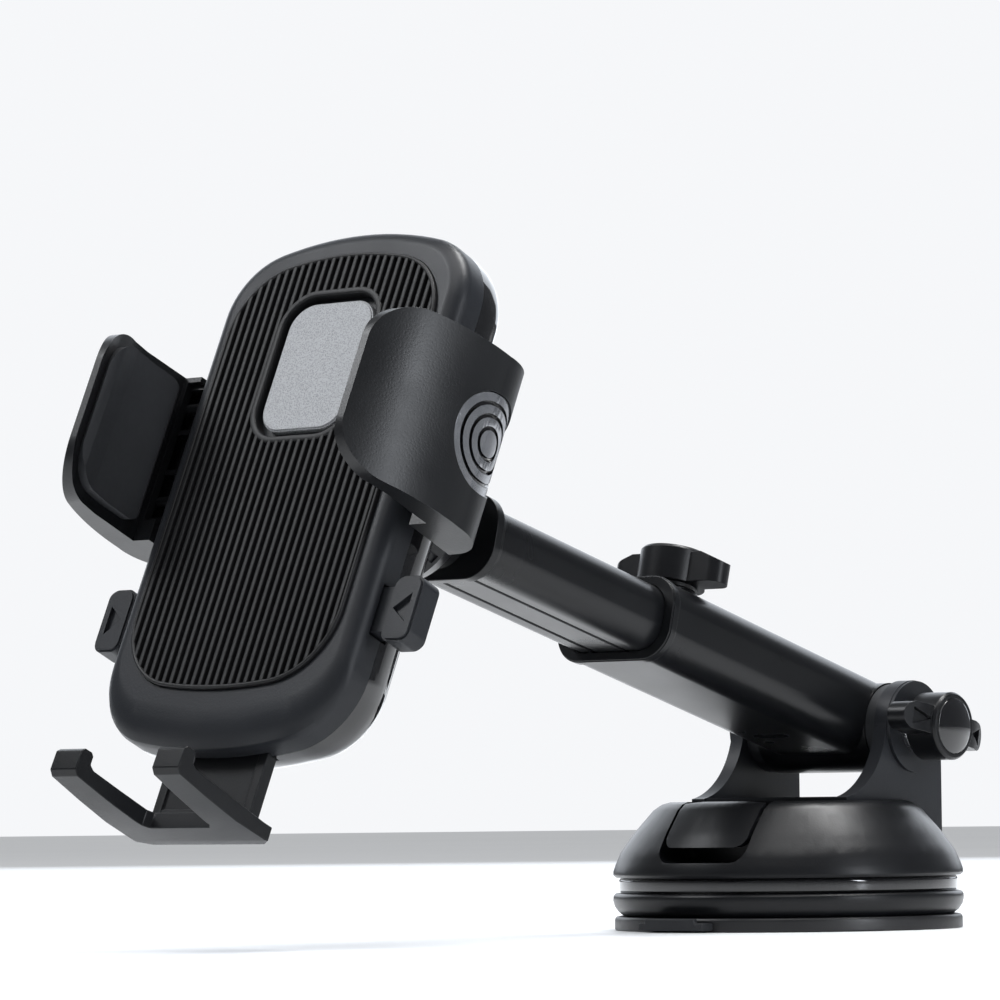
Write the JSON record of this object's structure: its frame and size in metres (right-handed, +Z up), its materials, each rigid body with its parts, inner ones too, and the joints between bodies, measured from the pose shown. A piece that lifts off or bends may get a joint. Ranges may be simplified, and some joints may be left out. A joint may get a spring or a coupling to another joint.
{
  "type": "suction phone mount",
  "caption": "Suction-base phone mount with a tilting telescopic arm, ball joint, spring-open side jaws, release buttons and a sliding foot.",
  "frame": {"origin": "centre of the suction pad's face, on the surface it grips", "axes": "+Z up, away from the mounting surface; -Y the way the arm reaches and the phone faces; +X the side of the hinge knob, which is the user's right"},
  "size_m": [0.0884, 0.2405, 0.1375],
  "materials": {
    "satin_black": "satin, fine grain",
    "gloss_black": "polished",
    "soft_grip": "matte, soft touch",
    "ribbed_grip": "matte, moulded ribs",
    "suction_gel": "slightly tacky",
    "lever_black": "satin lacquer over cast zinc",
    "badge_silver": "fine metallic sparkle",
    "bright_trim": "polished",
    "zinc_steel": "zinc plated",
    "spring_steel": "drawn wire",
    "brass_insert": "machined",
    "nylon_white": "moulded, natural"
  },
  "bodies": {
    "base": {"suction_pad": "suction_gel", "pull_tab": "suction_gel", "cup_ring": "satin_black", "membrane": "suction_gel", "neck_ring": "gloss_black", "base_housing": "satin_black", "housing_screws": "zinc_steel", "yoke": "satin_black", "yoke_screws": "zinc_steel", "hinge_bolt": "zinc_steel", "hinge_washer": "zinc_steel", "friction_rings": "soft_grip", "lever_pin": "zinc_steel", "stem_spring": "spring_steel"},
    "lever": {"lock_lever": "lever_black"},
    "stem": {"vacuum_stem": "satin_black"},
    "hinge_knob": {"hinge_knob": "satin_black", "hinge_knob_cap": "gloss_black", "hinge_knob_insert": "brass_insert"},
    "outer_arm": {"outer_tube": "satin_black", "tube_collar": "satin_black"},
    "shoe": {"clamp_shoe": "satin_black"},
    "arm_knob": {"arm_knob": "satin_black", "arm_knob_cap": "gloss_black", "arm_knob_screw": "zinc_steel"},
    "inner_arm": {"inner_tube": "satin_black", "glide_bush": "nylon_white", "arm_head": "satin_black", "ball_stud": "satin_black"},
    "liner": {"ball_liner": "nylon_white"},
    "nut": {"clamp_nut": "satin_black"},
    "cradle": {"socket_boss": "satin_black", "front_housing": "satin_black", "rear_housing": "gloss_black", "ribbed_pad": "ribbed_grip", "badge_plate": "badge_silver", "cradle_screws": "zinc_steel", "jaw_spring": "spring_steel", "button_spring_right": "spring_steel", "button_spring_left": "spring_steel"},
    "pinion": {"pinion": "nylon_white"},
    "jaw_right": {"jaw_shell_right": "satin_black", "jaw_pad_right": "soft_grip", "jaw_disc_right": "bright_trim", "jaw_carrier_right": "satin_black"},
    "jaw_left": {"jaw_shell_left": "satin_black", "jaw_pad_left": "soft_grip", "jaw_disc_left": "bright_trim", "jaw_carrier_left": "satin_black"},
    "button_right": {"button_right": "satin_black"},
    "button_left": {"button_left": "satin_black"},
    "foot": {"foot": "satin_black", "foot_cushions": "soft_grip"}
  },
  "joints": [
    {"name": "arm_tilt", "type": "hinge", "parent": "base", "child": "outer_arm", "pos_m": [0, 0.0178, 0.0425], "axis": [-1, 0, 0], "range_deg": [-15, 110]},
    {"name": "hinge_knob_turn", "type": "hinge", "parent": "base", "child": "hinge_knob", "pos_m": [0.025, 0.0178, 0.0425], "axis": [-1, 0, 0], "range_deg": [0, 330]},
    {"name": "lever_open", "type": "hinge", "parent": "base", "child": "lever", "pos_m": [0.00245, -0.02548, 0.0226], "axis": [-0.9954, -0.0958, 0], "range_deg": [0, 60]},
    {"name": "stem_lift", "type": "slide", "parent": "base", "child": "stem", "axis": [0, 0, 1], "range_m": [-0.0012, 0], "deforming": ["stem_spring"]},
    {"name": "arm_slide", "type": "slide", "parent": "outer_arm", "child": "inner_arm", "axis": [0, -0.9636, 0.2672], "range_m": [-0.038, 0.008]},
    {"name": "arm_knob_turn", "type": "hinge", "parent": "outer_arm", "child": "arm_knob", "pos_m": [0, -0.03919, 0.07086], "axis": [0, 0.2672, 0.9636], "range_deg": [0, 330]},
    {"name": "shoe_lift", "type": "slide", "parent": "outer_arm", "child": "shoe", "axis": [0, 0.2672, 0.9636], "range_m": [0, 0.0006]},
    {"name": "ball_yaw", "type": "hinge", "parent": "inner_arm", "child": "liner", "pos_m": [0, -0.12257, 0.08267], "axis": [0, 0.4226, 0.9063], "range_deg": [-16, 16]},
    {"name": "ball_pitch", "type": "hinge", "parent": "liner", "child": "nut", "pos_m": [0, -0.12257, 0.08267], "axis": [-1, 0, 0], "range_deg": [-28, 9]},
    {"name": "ball_roll", "type": "hinge", "parent": "nut", "child": "cradle", "pos_m": [0, -0.12257, 0.08267], "axis": [0, -0.9063, 0.4226], "continuous": true},
    {"name": "jaw_right_slide", "type": "slide", "parent": "cradle", "child": "jaw_right", "axis": [1, 0, 0], "range_m": [-0.0024, 0.011]},
    {"name": "jaw_left_slide", "type": "slide", "parent": "cradle", "child": "jaw_left", "axis": [-1, 0, 0], "range_m": [-0.0024, 0.011]},
    {"name": "pinion_turn", "type": "hinge", "parent": "cradle", "child": "pinion", "pos_m": [0, -0.14462, 0.09218], "axis": [0, -0.9063, 0.4226], "range_deg": [-72, 16]},
    {"name": "button_right_press", "type": "slide", "parent": "cradle", "child": "button_right", "axis": [-1, 0, 0], "range_m": [0, 0.0022], "stiffness_N_per_m": 500, "springref_m": -0.002},
    {"name": "button_left_press", "type": "slide", "parent": "cradle", "child": "button_left", "axis": [1, 0, 0], "range_m": [0, 0.0022], "stiffness_N_per_m": 500, "springref_m": -0.002},
    {"name": "foot_slide", "type": "slide", "parent": "cradle", "child": "foot", "axis": [0, -0.4226, -0.9063], "range_m": [-0.01, 0.012]}
  ],
  "couplings": [
    {"joint": "stem_lift", "follows": "lever_open", "m_per_rad": -0.001145},
    {"joint": "shoe_lift", "follows": "arm_knob_turn", "m_per_rad": 0.000104},
    {"joint": "jaw_left_slide", "follows": "jaw_right_slide", "ratio": 1},
    {"joint": "pinion_turn", "follows": "jaw_right_slide", "rad_per_m": -111.11}
  ]
}
